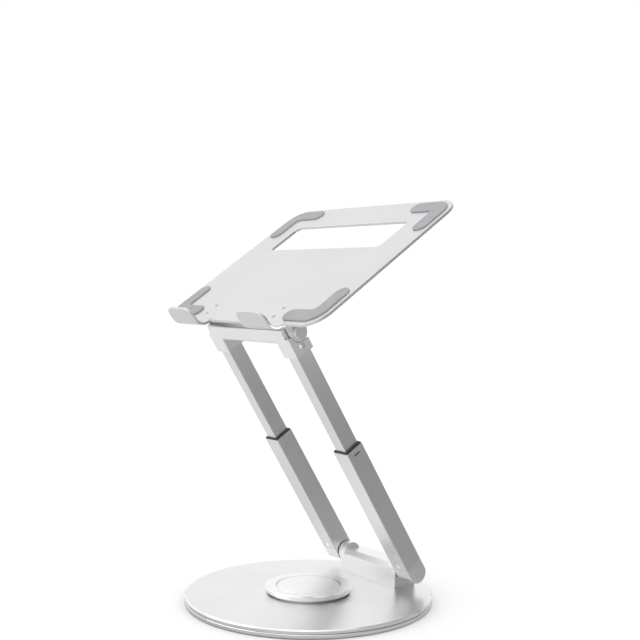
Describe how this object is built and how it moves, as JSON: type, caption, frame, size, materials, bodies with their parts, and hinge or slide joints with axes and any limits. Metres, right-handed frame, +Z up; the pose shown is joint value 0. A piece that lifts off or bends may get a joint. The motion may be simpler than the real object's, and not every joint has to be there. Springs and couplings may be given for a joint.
{
  "type": "laptop stand",
  "caption": "Telescoping laptop stand: tilting hooked tray on twin sliding arms hinged to a round base that turns on its own foot plate.",
  "frame": {"origin": "centre of the round base on the surface it stands on", "axes": "+Z up, +X to the user's right, +Y away from the user"},
  "size_m": [0.2644, 0.254, 0.4097],
  "materials": {
    "satin_aluminium": "bead-blasted and anodised satin",
    "base_steel": "satin plated",
    "fastener_steel": "machined",
    "black_plastic": "moulded",
    "grey_silicone": "matt silicone",
    "base_rubber": "matt rubber"
  },
  "bodies": {
    "base": {"foot_ring": "base_rubber", "lower_plate": "base_steel", "spindle": "fastener_steel", "spindle_washer": "fastener_steel", "spindle_nut": "fastener_steel", "bearing_lower_race": "fastener_steel"},
    "bearing_cage": {"bearing_cage": "black_plastic", "bearing_balls": "fastener_steel"},
    "turntable": {"bearing_upper_race": "fastener_steel", "upper_plate": "satin_aluminium", "spindle_bush": "black_plastic", "hub_cap": "satin_aluminium", "hub_disc": "satin_aluminium", "hub_screws": "fastener_steel", "hinge_block": "satin_aluminium", "block_screws": "fastener_steel", "lower_hinge_shaft": "fastener_steel", "shaft_grub_screws": "fastener_steel", "friction_washers": "black_plastic"},
    "lower_arms": {"lower_knuckle_left": "satin_aluminium", "lower_knuckle_right": "satin_aluminium", "knuckle_screws": "fastener_steel", "lower_tube_left": "satin_aluminium", "lower_tube_right": "satin_aluminium", "collar_left": "black_plastic", "collar_right": "black_plastic"},
    "upper_arms": {"glide_shoe_left": "black_plastic", "glide_shoe_right": "black_plastic", "upper_tube_left": "satin_aluminium", "upper_tube_right": "satin_aluminium", "yoke": "satin_aluminium", "tube_screws": "fastener_steel", "upper_hinge_pins": "fastener_steel", "pin_washers": "fastener_steel", "pin_nuts": "fastener_steel"},
    "tray": {"tray_bracket_left": "satin_aluminium", "tray_bracket_right": "satin_aluminium", "tray_plate": "satin_aluminium", "tray_screws": "fastener_steel", "front_pad_left": "grey_silicone", "front_pad_right": "grey_silicone", "rear_pad_left": "grey_silicone", "rear_pad_right": "grey_silicone"}
  },
  "joints": [
    {"name": "base_spin", "type": "hinge", "parent": "base", "child": "turntable", "pos_m": [0, 0, 0.0048], "axis": [0, 0, 1], "continuous": true},
    {"name": "cage_spin", "type": "hinge", "parent": "base", "child": "bearing_cage", "pos_m": [0, 0, 0.0048], "axis": [0, 0, 1], "continuous": true},
    {"name": "arm_tilt", "type": "hinge", "parent": "turntable", "child": "lower_arms", "pos_m": [0, 0.0883, 0.0289], "axis": [1, 0, 0], "range_deg": [-32.2, 55]},
    {"name": "arm_telescope", "type": "slide", "parent": "lower_arms", "child": "upper_arms", "axis": [0, -0.5329, 0.8462], "range_m": [-0.1066, 0]},
    {"name": "tray_tilt", "type": "hinge", "parent": "upper_arms", "child": "tray", "pos_m": [0, -0.06613, 0.28145], "axis": [1, 0, 0], "range_deg": [-91, 5]}
  ],
  "couplings": [
    {"joint": "cage_spin", "follows": "base_spin", "ratio": 0.5}
  ]
}
